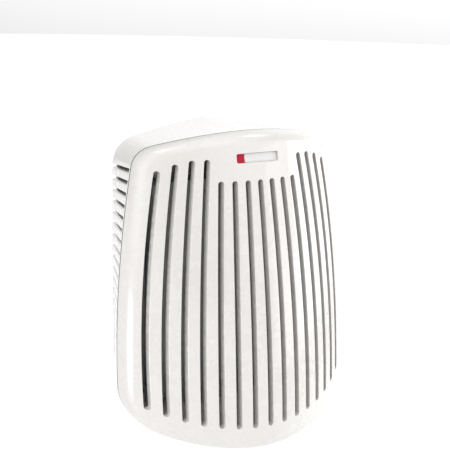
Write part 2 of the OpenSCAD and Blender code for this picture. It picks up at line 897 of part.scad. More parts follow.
front_cover();
window_lens();
indicator_card();
indicator_dye();
strip_carrier();
filter_frame();
carbon_media();
dust_screen();
filter_pull_tab();
rear_housing();
intake_deck();
deck_gasket();
deck_screws();
wall_bumpers();
plug_insert();
neutral_blade();
line_blade();
plug_screws();
neutral_terminal();
line_terminal();
neutral_lead();
line_lead();
motor_lead();
thermal_fuse();
speed_switch();
speed_capacitor();
stator_core();
coil_bobbin();
motor_winding();
shading_rings();
front_bracket();
rear_bracket();
front_bush();
rear_bush();
motor_screws();
rotor_core();
motor_shaft();
impeller();
impeller_clip();
switch_knob();
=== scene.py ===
"""Looks of a plug-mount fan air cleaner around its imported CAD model; millimetres until a mesh is made."""

import functools
import math

import bmesh
import bpy
import numpy as np
from mathutils import Matrix, Vector
from mathutils.geometry import delaunay_2d_cdt
from mathutils.kdtree import KDTree


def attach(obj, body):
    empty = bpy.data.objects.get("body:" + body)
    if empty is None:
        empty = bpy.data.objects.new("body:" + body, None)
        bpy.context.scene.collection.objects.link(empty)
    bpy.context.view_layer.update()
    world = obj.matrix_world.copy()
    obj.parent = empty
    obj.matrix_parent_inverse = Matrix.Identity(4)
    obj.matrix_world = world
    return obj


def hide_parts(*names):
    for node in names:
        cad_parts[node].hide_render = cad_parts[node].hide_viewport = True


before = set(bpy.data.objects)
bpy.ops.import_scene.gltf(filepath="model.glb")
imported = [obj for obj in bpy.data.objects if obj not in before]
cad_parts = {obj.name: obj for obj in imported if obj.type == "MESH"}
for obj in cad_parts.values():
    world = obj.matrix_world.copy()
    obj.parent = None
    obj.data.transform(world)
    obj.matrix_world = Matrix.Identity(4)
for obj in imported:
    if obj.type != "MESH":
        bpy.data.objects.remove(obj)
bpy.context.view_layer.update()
MM = 0.001

# ---- camera ----
AZIMUTH = 28.91  # the camera stands this far round to the left
ELEVATION = 15.76
ROLL = 1.51
DISTANCE = 532.86  # from the plug along the line of sight
PLUG_RIGHT = -15.195  # where the plug lies from the middle of the view
PLUG_UP = 45.951
LENS = 75.886
SENSOR = 36


def add_camera():
    a, e, r = (math.radians(v) for v in (AZIMUTH, ELEVATION, ROLL))
    back = Vector((-math.sin(a) * math.cos(e), -math.cos(a) * math.cos(e), math.sin(e)))
    level = (-back).cross(Vector((0, 0, 1))).normalized()
    upright = level.cross(-back)
    right = math.cos(r) * level + math.sin(r) * upright
    up = -math.sin(r) * level + math.cos(r) * upright
    data = bpy.data.cameras.new("camera")
    data.lens = LENS
    data.sensor_width = SENSOR
    data.clip_start = 0.01
    data.clip_end = 20
    cam = bpy.data.objects.new("camera", data)
    bpy.context.scene.collection.objects.link(cam)
    turn = Matrix((right, up, back)).transposed().to_4x4()
    place = (back * DISTANCE - right * PLUG_RIGHT - up * PLUG_UP) * MM
    cam.matrix_world = Matrix.Translation(place) @ turn
    bpy.context.scene.camera = cam


add_camera()

# ---- shape of the shells ----
COVER_TOP = 17.4
COVER_BOTTOM = -145.6
COVER_HALF_W = 68.2
COVER_WALL = 2.4
COVER_FRONT = 4.5  # depth of the cover's front wall
COVER_ROLL = 5
TOP_ARC = 153  # radius of the cover's top edge
SIDE_ARC = 620
LOW_ARC = 175
WIDEST_Z = -118  # height where the cover is widest
FACE_DEPTH = 68.2  # of the face in front of the back, at the plug's height
FACE_LEAN = 0.239
FACE_ARCH = 0.0006  # bend of the face from top to bottom
FACE_DROP = 25.5  # how far the face falls back at FACE_STATION from the middle
FACE_CURL = 1.5  # and how much more, in a term that grows faster outwards
FACE_STATION = 60
TOP_MIDDLE = -64  # height of the point that the rims lean towards
SEAM = 5.5  # depth of the cover's edge behind its face
SEAM_GAP = 0.6
HOUSING_WALL = 2.2
HOUSING_ROLL = 7
LIP = 0.4  # rounding of the edges of the front slots and the window
RIM_OUTER = 0.18  # softening of the outer edge of the cover's rim
RIM_EDGE = 0.2  # and of a rim's other edges


def face_p(x, z):
    """Depth of the face in front of the back."""
    return (FACE_DEPTH - FACE_LEAN * z - FACE_ARCH * z * z
            - FACE_DROP * (x / FACE_STATION) ** 2 - FACE_CURL * (x / FACE_STATION) ** 4)


def meet(c1, r1, c2, r2):
    """Where two circles cross, on the side of the outline's corner."""
    d = np.linalg.norm(c2 - c1)
    a = (r1 * r1 - r2 * r2 + d * d) / (2 * d)
    h = math.sqrt(r1 * r1 - a * a)
    u = (c2 - c1) / d
    return c1 + a * u + h * np.array([u[1], -u[0]])


def angle_of(v):
    return math.atan2(v[1], v[0])


class Outline:
    """Closed outline of five arcs a side.

    A place on it is s: 0 at the top, 5 at the bottom, 10 at the top again.
    """

    def __init__(self, top, bottom, half_w, wide_z, top_r, side_r, low_r, top_corner, low_corner, offset):
        top_c = np.array([-offset, top - math.sqrt(top_r**2 - offset**2)])
        side_c = np.array([half_w - side_r, wide_z])
        low_c = np.array([0.0, bottom + low_r])
        k1 = meet(top_c, top_r - top_corner, side_c, side_r - top_corner)
        k2 = meet(side_c, side_r - low_corner, low_c, low_r - low_corner)
        turns = [math.acos(offset / top_r), angle_of(k1 - top_c), angle_of(k1 - side_c),
                 angle_of(k2 - side_c), angle_of(k2 - low_c), -math.pi / 2]
        self.centre = np.array([top_c, k1, side_c, k2, low_c])
        self.radius = np.array([top_r, top_corner, side_r, low_corner, low_r], float)
        self.start = np.array(turns[:5])
        self.sweep = np.array(turns[1:]) - self.start

    def at(self, s, inset):
        s = np.asarray(s, float)
        left = s > 5
        t = np.where(left, 10 - s, s)
        i = np.clip(t.astype(int), 0, 4)
        a = self.start[i] + (t - i) * self.sweep[i]
        x = np.maximum(self.centre[i, 0] + (self.radius[i] - inset) * np.cos(a), 0)
        z = self.centre[i, 1] + (self.radius[i] - inset) * np.sin(a)
        return np.where(left, -x, x), z


cover_line = Outline(
    top=COVER_TOP, bottom=COVER_BOTTOM, half_w=COVER_HALF_W, wide_z=WIDEST_Z, top_r=TOP_ARC, side_r=SIDE_ARC,
    low_r=LOW_ARC, top_corner=14, low_corner=23, offset=0)
housing_line = Outline(
    top=16.2, bottom=-139, half_w=54.2, wide_z=-60, top_r=400, side_r=3000, low_r=175, top_corner=15,
    low_corner=22, offset=56)


def spread(line, step):
    """Places round an outline, about step apart."""
    half = []
    for i in range(5):
        n = max(2, round(abs(line.radius[i] * line.sweep[i]) / step))
        half += [i + j / n for j in range(n)]
    return np.array(half + [5.0] + [10 - s for s in reversed(half[1:])])


def points(x, depth, z):
    """Rows of x, y, z for a depth in front of the back."""
    x, depth, z = np.broadcast_arrays(x, depth, z)
    return np.stack([x, -depth, z], axis=-1).astype(float)


# ---- mesh tools ----
# Painted shade: the rims at the seam are white plastic, given a dark grey that stands in for the shadow in
# the gap between the shells.
SEAM_SHADE = 1  # the shells' second material, on the rims that face each other at the seam
SHARP = 35  # degrees between faces from which their edge is sharp
ROUND = 40  # sides of a turned solid or a round hole


def inside(p, loops):
    """Which points lie inside the first loop and outside the others."""
    a = np.concatenate([np.asarray(c) for c in loops])
    b = np.concatenate([np.roll(np.asarray(c), -1, axis=0) for c in loops])
    slope = (b[:, 0] - a[:, 0]) / np.where(b[:, 1] == a[:, 1], 1, b[:, 1] - a[:, 1])
    odd = np.zeros(len(p), bool)
    for k in range(0, len(p), 500):
        x, y = p[k : k + 500, 0, None], p[k : k + 500, 1, None]
        spans = (a[:, 1] > y) != (b[:, 1] > y)
        odd[k : k + 500] = np.sum(spans & (a[:, 0] + (y - a[:, 1]) * slope > x), axis=1) % 2 == 1
    return odd


def clearance(p, loops):
    """How far each point is from the nearest corner of the loops."""
    tree = KDTree(sum(len(c) for c in loops))
    for i, q in enumerate(np.concatenate([np.asarray(c) for c in loops])):
        tree.insert((*q, 0), i)
    tree.balance()
    return np.array([tree.find((*q, 0))[2] for q in p])


def fill(loops, grid, room):
    """Triangles over the first loop less the others.

    Returns the grid points kept, and triples that index the loops' points and then the kept ones.
    """
    grid = np.asarray(grid)
    grid = grid[clearance(grid, loops) > room]
    kept = grid[inside(grid, loops)]
    edges, first = [], 0
    for c in loops:
        n = len(c)
        edges += [(first + i, first + (i + 1) % n) for i in range(n)]
        first += n
    flat = np.concatenate([np.asarray(c) for c in loops] + [kept])
    _, _, tris, origin, _, _ = delaunay_2d_cdt([Vector(v) for v in flat], edges, [], 0, 1e-6)
    if any(not o for o in origin):
        raise RuntimeError("edges cross in a filled region")
    back = [o[0] for o in origin]
    tris = np.array([[back[i] for i in t] for t in tris])
    return kept, tris[inside(flat[tris].mean(axis=1), loops)]


class Skin:
    """Patches of one closed surface, welded where they meet."""

    def __init__(self):
        self.verts = []
        self.faces = []
        self.looks = []

    def add(self, pts, faces, look=0):
        first = len(self.verts)
        self.verts += [tuple(p) for p in np.asarray(pts).reshape(-1, 3)]
        self.faces += [[first + i for i in f] for f in faces]
        self.looks += [look] * len(faces)

    def rings(self, rings, look=0):
        """Joins closed rings of the same length, one after another."""
        n = len(rings[0])
        faces = [(j * n + i, j * n + (i + 1) % n, (j + 1) * n + (i + 1) % n, (j + 1) * n + i)
                 for j in range(len(rings) - 1) for i in range(n)]
        self.add(np.concatenate(rings), faces, look)

    def fan(self, ring, tip):
        """Closes a ring with triangles to one point."""
        n = len(ring)
        self.add(np.concatenate([ring, tip]), [(i, (i + 1) % n, n) for i in range(n)])

    def lathe(self, x, z, profile):
        """Turned solid about a line along Y at x, z; the profile is (radius, depth) from axis to axis."""
        a = np.arange(ROUND) * 2 * math.pi / ROUND
        self.rings([points(x + r * np.cos(a), d, z + r * np.sin(a)) for r, d in profile[1:-1]])
        ends = [(profile[0], profile[1]), (profile[-1], profile[-2])]
        for (_, d), (r, _) in ends:
            ring = points(x + r * np.cos(a), d, z + r * np.sin(a))
            self.fan(ring, points([x], d, [z]))

    def bar(self, x0, x1, profile, soft=0.35):
        """Bar along X with softened edges; the profile is (depth, z) corners."""
        bm = bmesh.new()
        ends = [[bm.verts.new((x, -d, z)) for d, z in profile] for x in (x0, x1)]
        for end in ends:
            bm.faces.new(end)
        for i in range(len(profile)):
            bm.faces.new((ends[0][i - 1], ends[0][i], ends[1][i], ends[1][i - 1]))
        bmesh.ops.bevel(bm, geom=list(bm.edges), offset=soft, segments=3, profile=0.5, affect="EDGES")
        bm.verts.index_update()
        self.add([v.co[:] for v in bm.verts], [[v.index for v in f.verts] for f in bm.faces])
        bm.free()

    def make(self, name, body, nodes, mats, slot):
        """Welds the patches into one closed mesh."""
        mesh = bpy.data.meshes.new(name)
        mesh.from_pydata([tuple(c * MM for c in v) for v in self.verts], [], self.faces)
        mesh.polygons.foreach_set("material_index", self.looks)
        bm = bmesh.new()
        bm.from_mesh(mesh)
        bmesh.ops.remove_doubles(bm, verts=bm.verts, dist=2e-6)
        bmesh.ops.dissolve_degenerate(bm, dist=1e-7, edges=bm.edges)
        bmesh.ops.recalc_face_normals(bm, faces=bm.faces)
        bm.to_mesh(mesh)
        bm.free()
        return finish_piece(mesh, name, body, nodes, mats)


def finish_piece(mesh, name, body, nodes, mats):
    """Object of a finished mesh that rides on a body and replaces the CAD nodes."""
    mesh.shade_smooth()
    mesh.set_sharp_from_angle(angle=math.radians(SHARP))
    for mat in mats:
        mesh.materials.append(mat)
    obj = bpy.data.objects.new(name, mesh)
    bpy.context.scene.collection.objects.link(obj)
    weight = obj.modifiers.new("even_shading", "WEIGHTED_NORMAL")
    weight.keep_sharp = True
    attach(obj, body)
    if nodes:
        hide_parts(*nodes)
    return obj


# ---- materials ----
WAVE_SCALE = 0.3141  # of a wave texture whose bands lie one unit apart


class Look:
    """A material built from nodes around one Principled shader."""

    def __init__(self, name, **sockets):
        self.mat = bpy.data.materials.new(name)
        self.mat.use_nodes = True
        self.nodes = self.mat.node_tree.nodes
        self.links = self.mat.node_tree.links
        self.shader = self.nodes["Principled BSDF"]
        self.place = self.nodes.new("ShaderNodeTexCoord").outputs["Object"]
        self.height = None
        for key, value in sockets.items():
            self.shader.inputs[key.replace("_", " ")].default_value = value

    def new(self, kind, **values):
        node = self.nodes.new(kind)
        for key, value in values.items():
            if hasattr(node, key):
                setattr(node, key, value)
            else:
                node.inputs[key.replace("_", " ")].default_value = value
        return node

    def noise(self, size, detail=3, stretch=(1, 1, 1)):
        """Noise whose features are about size mm across."""
        shift = self.new("ShaderNodeMapping")
        shift.inputs["Scale"].default_value = [v / (size * MM) for v in stretch]
        self.links.new(self.place, shift.inputs["Vector"])
        node = self.new("ShaderNodeTexNoise", Detail=detail)
        node.inputs["Scale"].default_value = 1
        self.links.new(shift.outputs["Vector"], node.inputs["Vector"])
        return node.outputs["Fac"]

    def wave(self, size, axis, distortion=0.0):
        """Bands about size mm apart along an axis."""
        shift = self.new("ShaderNodeMapping")
        shift.inputs["Scale"].default_value = [WAVE_SCALE / (size * MM)] * 3
        self.links.new(self.place, shift.inputs["Vector"])
        node = self.new("ShaderNodeTexWave", bands_direction=axis)
        node.inputs["Scale"].default_value = 1
        node.inputs["Distortion"].default_value = distortion
        self.links.new(shift.outputs["Vector"], node.inputs["Vector"])
        return node.outputs["Fac"]

    def ramp(self, value, low, high, a=0.3, b=0.7):
        """Goes from low to high as the value goes from a to b."""
        node = self.new("ShaderNodeMapRange")
        node.inputs["From Min"].default_value = a
        node.inputs["From Max"].default_value = b
        node.inputs["To Min"].default_value = low
        node.inputs["To Max"].default_value = high
        self.links.new(value, node.inputs["Value"])
        return node.outputs["Result"]

    def colour(self, value, dark, light, a=0.3, b=0.7):
        """Base colour that goes from dark to light as the value goes from a to b."""
        node = self.new("ShaderNodeMix", data_type="RGBA")
        for socket, tint in zip([s for s in node.inputs if s.type == "RGBA"], (dark, light)):
            socket.default_value = (*tint, 1)
        self.links.new(self.ramp(value, 0, 1, a, b), node.inputs["Factor"])
        out = [s for s in node.outputs if s.type == "RGBA"][0]
        self.links.new(out, self.shader.inputs["Base Color"])
        return self

    def rough(self, value, low, high):
        self.links.new(self.ramp(value, low, high), self.shader.inputs["Roughness"])
        return self

    def bump(self, value, depth, strength=1.0):
        """Raises the surface by up to depth mm."""
        node = self.new("ShaderNodeBump", Strength=strength, Distance=depth * MM)
        self.links.new(value, node.inputs["Height"])
        if self.height:
            self.links.new(self.height, node.inputs["Normal"])
        self.height = node.outputs["Normal"]
        self.links.new(self.height, self.shader.inputs["Normal"])
        return self


def plastic(name, dark, light, rough=(0.28, 0.36), grain=0.35, depth=0.006, **sockets):
    """Moulded plastic: a faint cloudiness, patchy gloss and a fine skin."""
    look = Look(name, **sockets)
    look.colour(look.noise(22, 2), dark, light)
    look.rough(look.noise(6, 4), *rough)
    look.bump(look.noise(grain, 2), depth)
    return look.mat


def metal(name, dark, light, rough=(0.22, 0.4), stretch=(1, 1, 1), depth=0.006):
    """Rolled or drawn metal with fine lines and slight tarnish."""
    look = Look(name, Metallic=1.0)
    look.colour(look.noise(3, 5), dark, light)
    look.rough(look.noise(0.9, 4, stretch), *rough)
    look.bump(look.noise(0.35, 2, stretch), depth)
    return look.mat


shell_white = plastic("shell_white", (0.70, 0.68, 0.655), (0.725, 0.706, 0.682), (0.24, 0.3), 0.5, 0.0008,
                      Coat_Weight=1.0, Coat_Roughness=0.1)
# Painted shade for the rims at the seam: a dark grey in place of the white plastic, for the shadow in the gap
# between the shells
seam_painted_shade = plastic("seam_painted_shade", (0.11, 0.105, 0.1), (0.14, 0.135, 0.13), (0.5, 0.6), 0.5, 0.004)
inner_white = plastic("inner_white", (0.72, 0.72, 0.71), (0.77, 0.77, 0.76), (0.38, 0.5), 0.5, 0.012)
charcoal = plastic("charcoal", (0.018, 0.018, 0.019), (0.028, 0.028, 0.03), (0.45, 0.6), 0.4, 0.02)
slate = plastic("slate", (0.28, 0.28, 0.277), (0.34, 0.34, 0.336), (0.45, 0.6), 0.4, 0.02)
button_grey = plastic("button_grey", (0.16, 0.165, 0.17), (0.2, 0.2, 0.205), (0.4, 0.5), 0.3, 0.012)
case_blue = plastic("case_blue", (0.05, 0.13, 0.33), (0.07, 0.16, 0.38), (0.25, 0.36), 0.6, 0.01)
wire_white = plastic("wire_white", (0.7, 0.7, 0.68), (0.76, 0.75, 0.73), (0.35, 0.5), 0.4, 0.01)
wire_black = plastic("wire_black", (0.015, 0.015, 0.015), (0.03, 0.03, 0.03), (0.35, 0.5), 0.4, 0.01)
wire_red = plastic("wire_red", (0.4, 0.02, 0.02), (0.5, 0.03, 0.03), (0.35, 0.5), 0.4, 0.01)
rubber = plastic("rubber", (0.1, 0.1, 0.1), (0.15, 0.15, 0.145), (0.6, 0.8), 0.25, 0.02)
steel = metal("steel", (0.5, 0.5, 0.5), (0.66, 0.66, 0.65))
brass = metal("brass", (0.72, 0.5, 0.2), (0.86, 0.64, 0.3), stretch=(1, 0.06, 1))
bronze = metal("bronze", (0.32, 0.2, 0.09), (0.46, 0.3, 0.14), (0.4, 0.6))


def card(name, dark, light):
    """Printed paper with fibres."""
    look = Look(name, Specular_IOR_Level=0.3)
    look.colour(look.noise(0.6, 5, (1, 1, 3)), dark, light)
    look.rough(look.noise(0.5, 3), 0.55, 0.75)
    look.bump(look.noise(0.25, 4, (1, 1, 2)), 0.01)
    return look.mat


def clear():
    """Moulded clear cap, a touch cloudy, with a light polish."""
    look = Look("clear_cap", Alpha=0.04, IOR=1.49)
    look.colour(look.noise(8, 2), (0.02, 0.025, 0.03), (0.03, 0.035, 0.04))
    look.rough(look.noise(4, 3), 0.02, 0.06)
    look.bump(look.noise(3, 1), 0.004)
    return look.mat


def carbon():
    """Sheet loaded with crushed carbon."""
    look = Look("carbon")
    grains = look.new("ShaderNodeTexVoronoi")
    grains.inputs["Scale"].default_value = 1 / (0.7 * MM)
    look.links.new(look.place, grains.inputs["Vector"])
    look.colour(look.noise(0.8, 4), (0.008, 0.008, 0.009), (0.04, 0.04, 0.042))
    look.rough(look.noise(0.6, 3), 0.5, 0.85)
    look.bump(grains.outputs["Distance"], 0.12, 0.8)
    return look.mat


def foam():
    """Open-cell foam, with painted shade in the hollows of its cells."""
    look = Look("foam")
    cells = look.new("ShaderNodeTexVoronoi")
    cells.inputs["Scale"].default_value = 1 / (0.9 * MM)
    look.links.new(look.place, cells.inputs["Vector"])
    # the colour follows the cells' bump: painted shade makes the hollows of the cells darker
    look.colour(cells.outputs["Distance"], (0.03, 0.03, 0.032), (0.09, 0.09, 0.09), 0, 0.7)
    look.rough(look.noise(1, 3), 0.8, 0.95)
    look.bump(cells.outputs["Distance"], 0.25)
    return look.mat


def lamination():
    """Edges of stacked steel sheets, with varnish."""
    look = Look("lamination", Metallic=0.75)
    sheets = look.wave(0.5, "Y")
    look.colour(look.noise(2.5, 5), (0.1, 0.1, 0.11), (0.22, 0.22, 0.23))
    look.rough(look.noise(1.2, 3), 0.35, 0.6)
    look.bump(sheets, 0.05)
    return look.mat


def winding():
    """Turns of enamelled copper wire lying side by side, with painted shade in the grooves between the turns.
    """
    look = Look("copper_turns", Metallic=0.9)
    turns = look.wave(0.42, "X", 0.6)
    # the colour follows the turns' bump: painted shade makes the grooves between turns darker
    look.colour(turns, (0.28, 0.075, 0.025), (0.72, 0.27, 0.11), 0.1, 0.9)
    look.rough(look.noise(1.5, 3), 0.25, 0.4)
    look.bump(turns, 0.18)
    return look.mat


card_white = card("card_white", (0.86, 0.86, 0.85), (0.93, 0.93, 0.92))
card_red = card("card_red", (0.5, 0.006, 0.03), (0.62, 0.012, 0.045))
clear_cap = clear()
carbon_sheet = carbon()
gasket_foam = foam()
core_steel = lamination()
copper_turns = winding()
copper_band = metal("copper_band", (0.6, 0.26, 0.13), (0.78, 0.38, 0.22))
screen_mat = plastic("screen", (0.26, 0.26, 0.26), (0.33, 0.33, 0.325), (0.5, 0.65), 0.3, 0.01)

NODE_LOOKS = {
    "window_lens": clear_cap, "indicator_card": card_white, "indicator_dye": card_red,
    "strip_carrier": inner_white, "filter_frame": slate, "carbon_media": carbon_sheet,
    "dust_screen": screen_mat, "filter_pull_tab": inner_white,
    "intake_deck": slate, "deck_gasket": gasket_foam, "deck_screws": steel, "wall_bumpers": rubber,
    "plug_insert": inner_white, "neutral_blade": brass, "line_blade": brass, "plug_screws": steel,
    "neutral_terminal": brass, "line_terminal": brass, "neutral_lead": wire_white, "line_lead": wire_black,
    "motor_lead": wire_red, "thermal_fuse": steel, "speed_switch": charcoal, "speed_capacitor": case_blue,
    "stator_core": core_steel, "coil_bobbin": inner_white, "motor_winding": copper_turns,
    "shading_rings": copper_band, "front_bracket": steel, "rear_bracket": steel, "front_bush": bronze,
    "rear_bush": bronze, "motor_screws": steel, "rotor_core": core_steel, "motor_shaft": steel,
    "impeller": inner_white, "impeller_clip": steel, "switch_knob": button_grey,
}
for node_name, mat in NODE_LOOKS.items():
    for material_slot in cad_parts[node_name].material_slots:
        material_slot.material = mat

# ---- cover ----
SLOTS = range(-7, 8)
SLOT_W = 2.9
SLOT_PITCH = 8.75  # at the height where the slots lie furthest apart
SLOT_PITCH_Z = -130
SLOT_NARROWING = 0.000125  # how fast the pitch falls away from that height
SLOT_BOW = 0.000105  # further bow of the outer slots, about the height below
SLOT_BOW_Z = -46
SHORT_SLOTS = 3  # slots on each side of the middle one that end under the window
SHORT_SLOT_TOP = -6
LONG_SLOT_TOP = 4.6  # of a slot at LONG_SLOT_PEAK places from the middle
LONG_SLOT_PEAK = 4.2
LONG_SLOT_FALL = 0.79
SLOT_BOTTOM = -133.2
SLOT_BOTTOM_RISE = 0.2
WINDOW = (23.8, 4.6)
WINDOW_Z = 5
WINDOW_LEAN = math.atan(FACE_LEAN + 2 * FACE_ARCH * WINDOW_Z)
WINDOW_CORNERS = ((1, 1, 0, 0.35), (-1, 1, 90, 0.9), (-1, -1, 180, 0.9), (1, -1, 270, 0.35))  # x, z, turn, r
TONGUE_X = (-25, 25)
TONGUE_HALF_W = 5
TONGUE_REACH = 30  # where the tongues take their height from the cover's edge


def slot_x(k, z):
    return k * (SLOT_PITCH - SLOT_NARROWING * (z - SLOT_PITCH_Z) ** 2) + SLOT_BOW * k**3 * (z - SLOT_BOW_Z)


def slot_ends(k):
    """Heights of the middles of a slot's round ends."""
    long_top = LONG_SLOT_TOP - LONG_SLOT_FALL * (abs(k) - LONG_SLOT_PEAK) ** 2
    top = SHORT_SLOT_TOP if abs(k) <= SHORT_SLOTS else long_top
    return top - SLOT_W / 2, SLOT_BOTTOM + SLOT_BOTTOM_RISE * k * k + SLOT_W / 2


def slot_loop(k, grow):
    """Outline of a front slot, widened all round by grow."""
    w = SLOT_W / 2 + grow
    top, low = slot_ends(k)
    n = round((top - low) / 2.4)
    z = np.linspace(top, low, n + 1)
    x = slot_x(k, z)
    bend = np.radians(np.arange(1, 8) * 22.5)
    return np.concatenate([
        np.stack([x + w, z], 1),
        np.stack([x[-1] + w * np.cos(bend), low - w * np.sin(bend)], 1),
        np.stack([x - w, z], 1)[::-1],
        np.stack([x[0] - w * np.cos(bend), top + w * np.sin(bend)], 1),
    ])


def window_loop(grow, depth):
    """Outline of the window at a depth under the face; its cut runs square to the face."""
    hw, hh = WINDOW[0] / 2 + grow, WINDOW[1] / 2 + grow
    pts = []
    for cx, cz, first, r in WINDOW_CORNERS:
        r += grow
        for a in np.radians(first + np.arange(0, 91, 18)):
            pts.append((cx * (hw - r) + r * math.cos(a), cz * (hh - r) + r * math.sin(a)))
    full = []
    for p, q in zip(pts, pts[1:] + pts[:1]):
        n = max(1, round(math.dist(p, q) / 1.6))
        full += [(p[0] + (q[0] - p[0]) * i / n, p[1] + (q[1] - p[1]) * i / n) for i in range(n)]
    full = np.array(full)[::-1]
    into = FACE_DROP * (full[:, 0] / FACE_STATION) ** 2 + depth
    z = WINDOW_Z + full[:, 1] * math.cos(WINDOW_LEAN) - into * math.cos(WINDOW_LEAN) * math.sin(WINDOW_LEAN)
    return np.stack([full[:, 0], z], 1)


def lip_steps(r, n=3):
    """(growth, depth) pairs that round an edge over with radius r."""
    return [(r * (1 - math.sin(a)), r * (1 - math.cos(a))) for a in np.linspace(0, math.pi / 2, n + 1)]


def face_points(loop, depth):
    """Points of an outline at a depth under the face."""
    loop = np.asarray(loop)
    return points(loop[:, 0], face_p(loop[:, 0], loop[:, 1]) - depth, loop[:, 1])


def rim_depth(outer, inner, depth, middle):
    """Depth at inner of a rim that leans from outer, at that depth, towards the middle of the shell."""
    reach_out = np.hypot(outer[0], outer[1] - TOP_MIDDLE)
    reach_in = np.hypot(inner[0], inner[1] - TOP_MIDDLE)
    return depth + (1 - reach_in / reach_out) * (middle - depth)


def both_edges(steps, wall):
    """(growth, depth) pairs down through a wall whose edges are rounded on both faces."""
    return steps + [(grow, wall - depth) for grow, depth in reversed(steps)]


def cover_front(skin, s):
    """Front wall with its slots and window."""
    outer = np.stack(cover_line.at(s, COVER_ROLL), 1)
    places = [gap + u for gap in range(-9, 9) for u in (0.4, 0.6, 1.0)]
    grid = [(slot_x(k, z), z) for z in np.arange(-142, 14, 2.3) for k in places]
    loops = [outer] + [slot_loop(k, LIP) for k in SLOTS] + [window_loop(LIP, 0)]
    kept, tris = fill(loops, grid, 0.7)
    flat = np.concatenate(loops + [kept])
    skin.add(face_points(flat, 0), tris)
    back = flat.copy()
    first = sum(len(c) for c in loops[:-1])
    back[first : first + len(loops[-1])] = window_loop(LIP, COVER_FRONT)
    skin.add(face_points(back, COVER_FRONT), tris)
    for make in [lambda g, d, k=k: slot_loop(k, g) for k in SLOTS] + [window_loop]:
        skin.rings([face_points(make(g, d), d) for g, d in both_edges(lip_steps(LIP), COVER_FRONT)])


def cover_edge(skin, s):
    """Roll from the face down to the rim, the rim at the seam, and the roll inside."""
    rings = []
    for a in np.radians(np.linspace(90, 0, 10)):
        x, z = cover_line.at(s, COVER_ROLL * (1 - math.cos(a)))
        rings.append(points(x, face_p(x, z) - COVER_ROLL * (1 - math.sin(a)), z))
    rim = cover_line.at(s, 0)
    rim_p = face_p(*rim) - SEAM
    middle = face_p(0, TOP_MIDDLE) - SEAM
    rings.append(points(rim[0], rim_p + RIM_OUTER, rim[1]))
    skin.rings(rings)
    rings = rings[-1:]
    for inset in (RIM_OUTER, COVER_WALL - RIM_EDGE):
        x, z = cover_line.at(s, inset)
        rings.append(points(x, rim_depth(rim, (x, z), rim_p, middle), z))
    # the rim's faces at the seam carry the painted shade of the gap
    skin.rings(rings, SEAM_SHADE)
    rings = rings[-1:]
    x, z = cover_line.at(s, COVER_WALL)
    behind = rim_depth(rim, (x, z), rim_p, middle) + RIM_EDGE
    rings.append(points(x, behind, z))
    roll = COVER_ROLL - COVER_WALL
    for a in np.radians(np.linspace(0, 90, 7)):
        x, z = cover_line.at(s, COVER_WALL + roll * (1 - math.cos(a)))
        behind = np.maximum(behind + 0.02, face_p(x, z) - COVER_FRONT - roll * (1 - math.sin(a)))
        rings.append(points(x, behind, z))
    skin.rings(rings)


def cover_tongues(skin):
    """L-shaped tongues at the top and bottom, which reach into the housing."""
    for x in TONGUE_X:
        for up, line_end, r in ((1, COVER_TOP, TOP_ARC), (-1, COVER_BOTTOM, LOW_ARC)):
            end = line_end - up * (r - math.sqrt(r * r - TONGUE_REACH * TONGUE_REACH))
            seam = face_p(x, end) - SEAM
            near, mid, far = end - up * 1.6, end - up * 4.2, end - up * 6
            profile = [(seam + 3, near), (seam + 1.2, near), (seam + 1.2, mid), (seam - 6, mid),
                       (seam - 6, far), (seam + 3, far)]
            skin.bar(x - TONGUE_HALF_W, x + TONGUE_HALF_W, profile)


def make_cover():
    skin = Skin()
    s = spread(cover_line, 2.0)
    cover_front(skin, s)
    cover_edge(skin, s)
    cover_tongues(skin)
    skin.make("cover_shell", "cover", ["front_cover"], [shell_white, seam_painted_shade], "shell_plastic")


make_cover()

# ---- housing ----
LOUVRES = 15
LOUVRE_TOP = -7.7
LOUVRE_PITCH = 6.18
LOUVRE_UP = 1.45  # from a louvre's listed height up to its upper edge
LOUVRE_DOWN = 0.45  # and down to its lower edge, where the chamfer starts
LOUVRE_CHAMFER = 3.5  # size of the chamfer on the lower edge, as a multiple of the lip
LOUVRE_RISE = math.tan(math.radians(6.8))
LOUVRE_PIVOT = 5  # depth at which a louvre has its listed height
LOUVRE_X = 50
LOUVRE_LIP = 0.3
LOUVRE_MARGIN = 2.8  # from a louvre's front end to the cover's edge
KNOB_X = 7.4
KNOB_DEPTHS = (15.6, 20.4)
WALL_SPAN = 45  # rough length of the wall, for laying out triangles
ROLL_SPAN = 11
SIDE = (0.9, 4.1)  # s at the top and bottom of the right side
NUDGE = 1e-3  # small step in s or t
HOLE_LIP = 0.3
PLUG_HALF = (12.5, 6.6)  # half the opening for the plug block
PLUG_CORNER = 0.3
BUMPERS = ((-34, -118), (34, -118))
BUMPER_R = 7.1
BUMPER_RECESS = 1
POST_ROOT = 1.5  # depth inside the back wall where the posts start
POST_HOLE = 1.5  # radius of a post's screw hole
# Places of the posts, with their radius, the depth of their front, its softening and their hole's bottom
POSTS = (
    (((-43, -5), (43, -5), (-37, -129), (37, -129)), 4, 34.45, 0.4, 22.5),
    (((-18.5, -58), (18.5, -58)), 4, 8.75, 0.3, 2.2),
    (((-17, 0), (17, 0)), 3.5, 6.4, 0.3, 2.2),
)
GUIDES_X = (-13.2, 11.4)  # bars beside the switch
GUIDE_W = 1.8
GUIDE_PROFILE = [(13, -138), (23, -138), (23, -130), (13, -130)]


